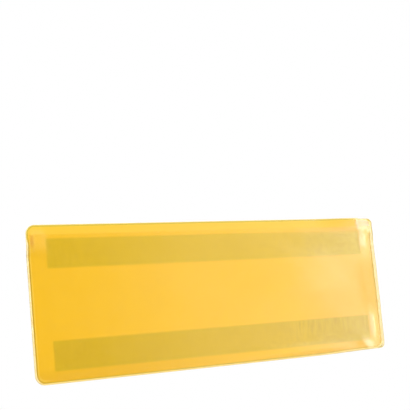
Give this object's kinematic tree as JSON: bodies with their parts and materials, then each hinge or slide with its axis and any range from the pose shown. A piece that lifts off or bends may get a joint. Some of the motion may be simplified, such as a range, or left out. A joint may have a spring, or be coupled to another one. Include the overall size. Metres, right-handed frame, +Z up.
{
  "type": "magnetic label pouch",
  "caption": "Flat yellow label pouch with a clear welded front, open along the top, held to steel by magnet strips on its back.",
  "frame": {"origin": "centre of the whole pouch, half way through its depth", "axes": "+X along the width, to the right as the label is read; +Y out of the back, towards the steel it clings to; +Z up, towards the open edge"},
  "size_m": [0.23, 0.0024, 0.08],
  "materials": {
    "yellow_film": "translucent yellow soft film, satin",
    "clear_film": "clear soft film with a light haze",
    "welded_film": "melted film bead, glossy",
    "adhesive_tape": "pale double-sided tape",
    "ferrite_rubber": "dark brown flexible magnet, matt"
  },
  "bodies": {
    "root": {"back_sheet": "yellow_film", "front_film": "clear_film", "weld_seam_left": "welded_film", "weld_seam_right": "welded_film", "weld_seam_bottom": "welded_film", "adhesive_upper": "adhesive_tape", "adhesive_lower": "adhesive_tape", "magnet_strip_upper": "ferrite_rubber", "magnet_strip_lower": "ferrite_rubber"}
  },
  "joints": []
}
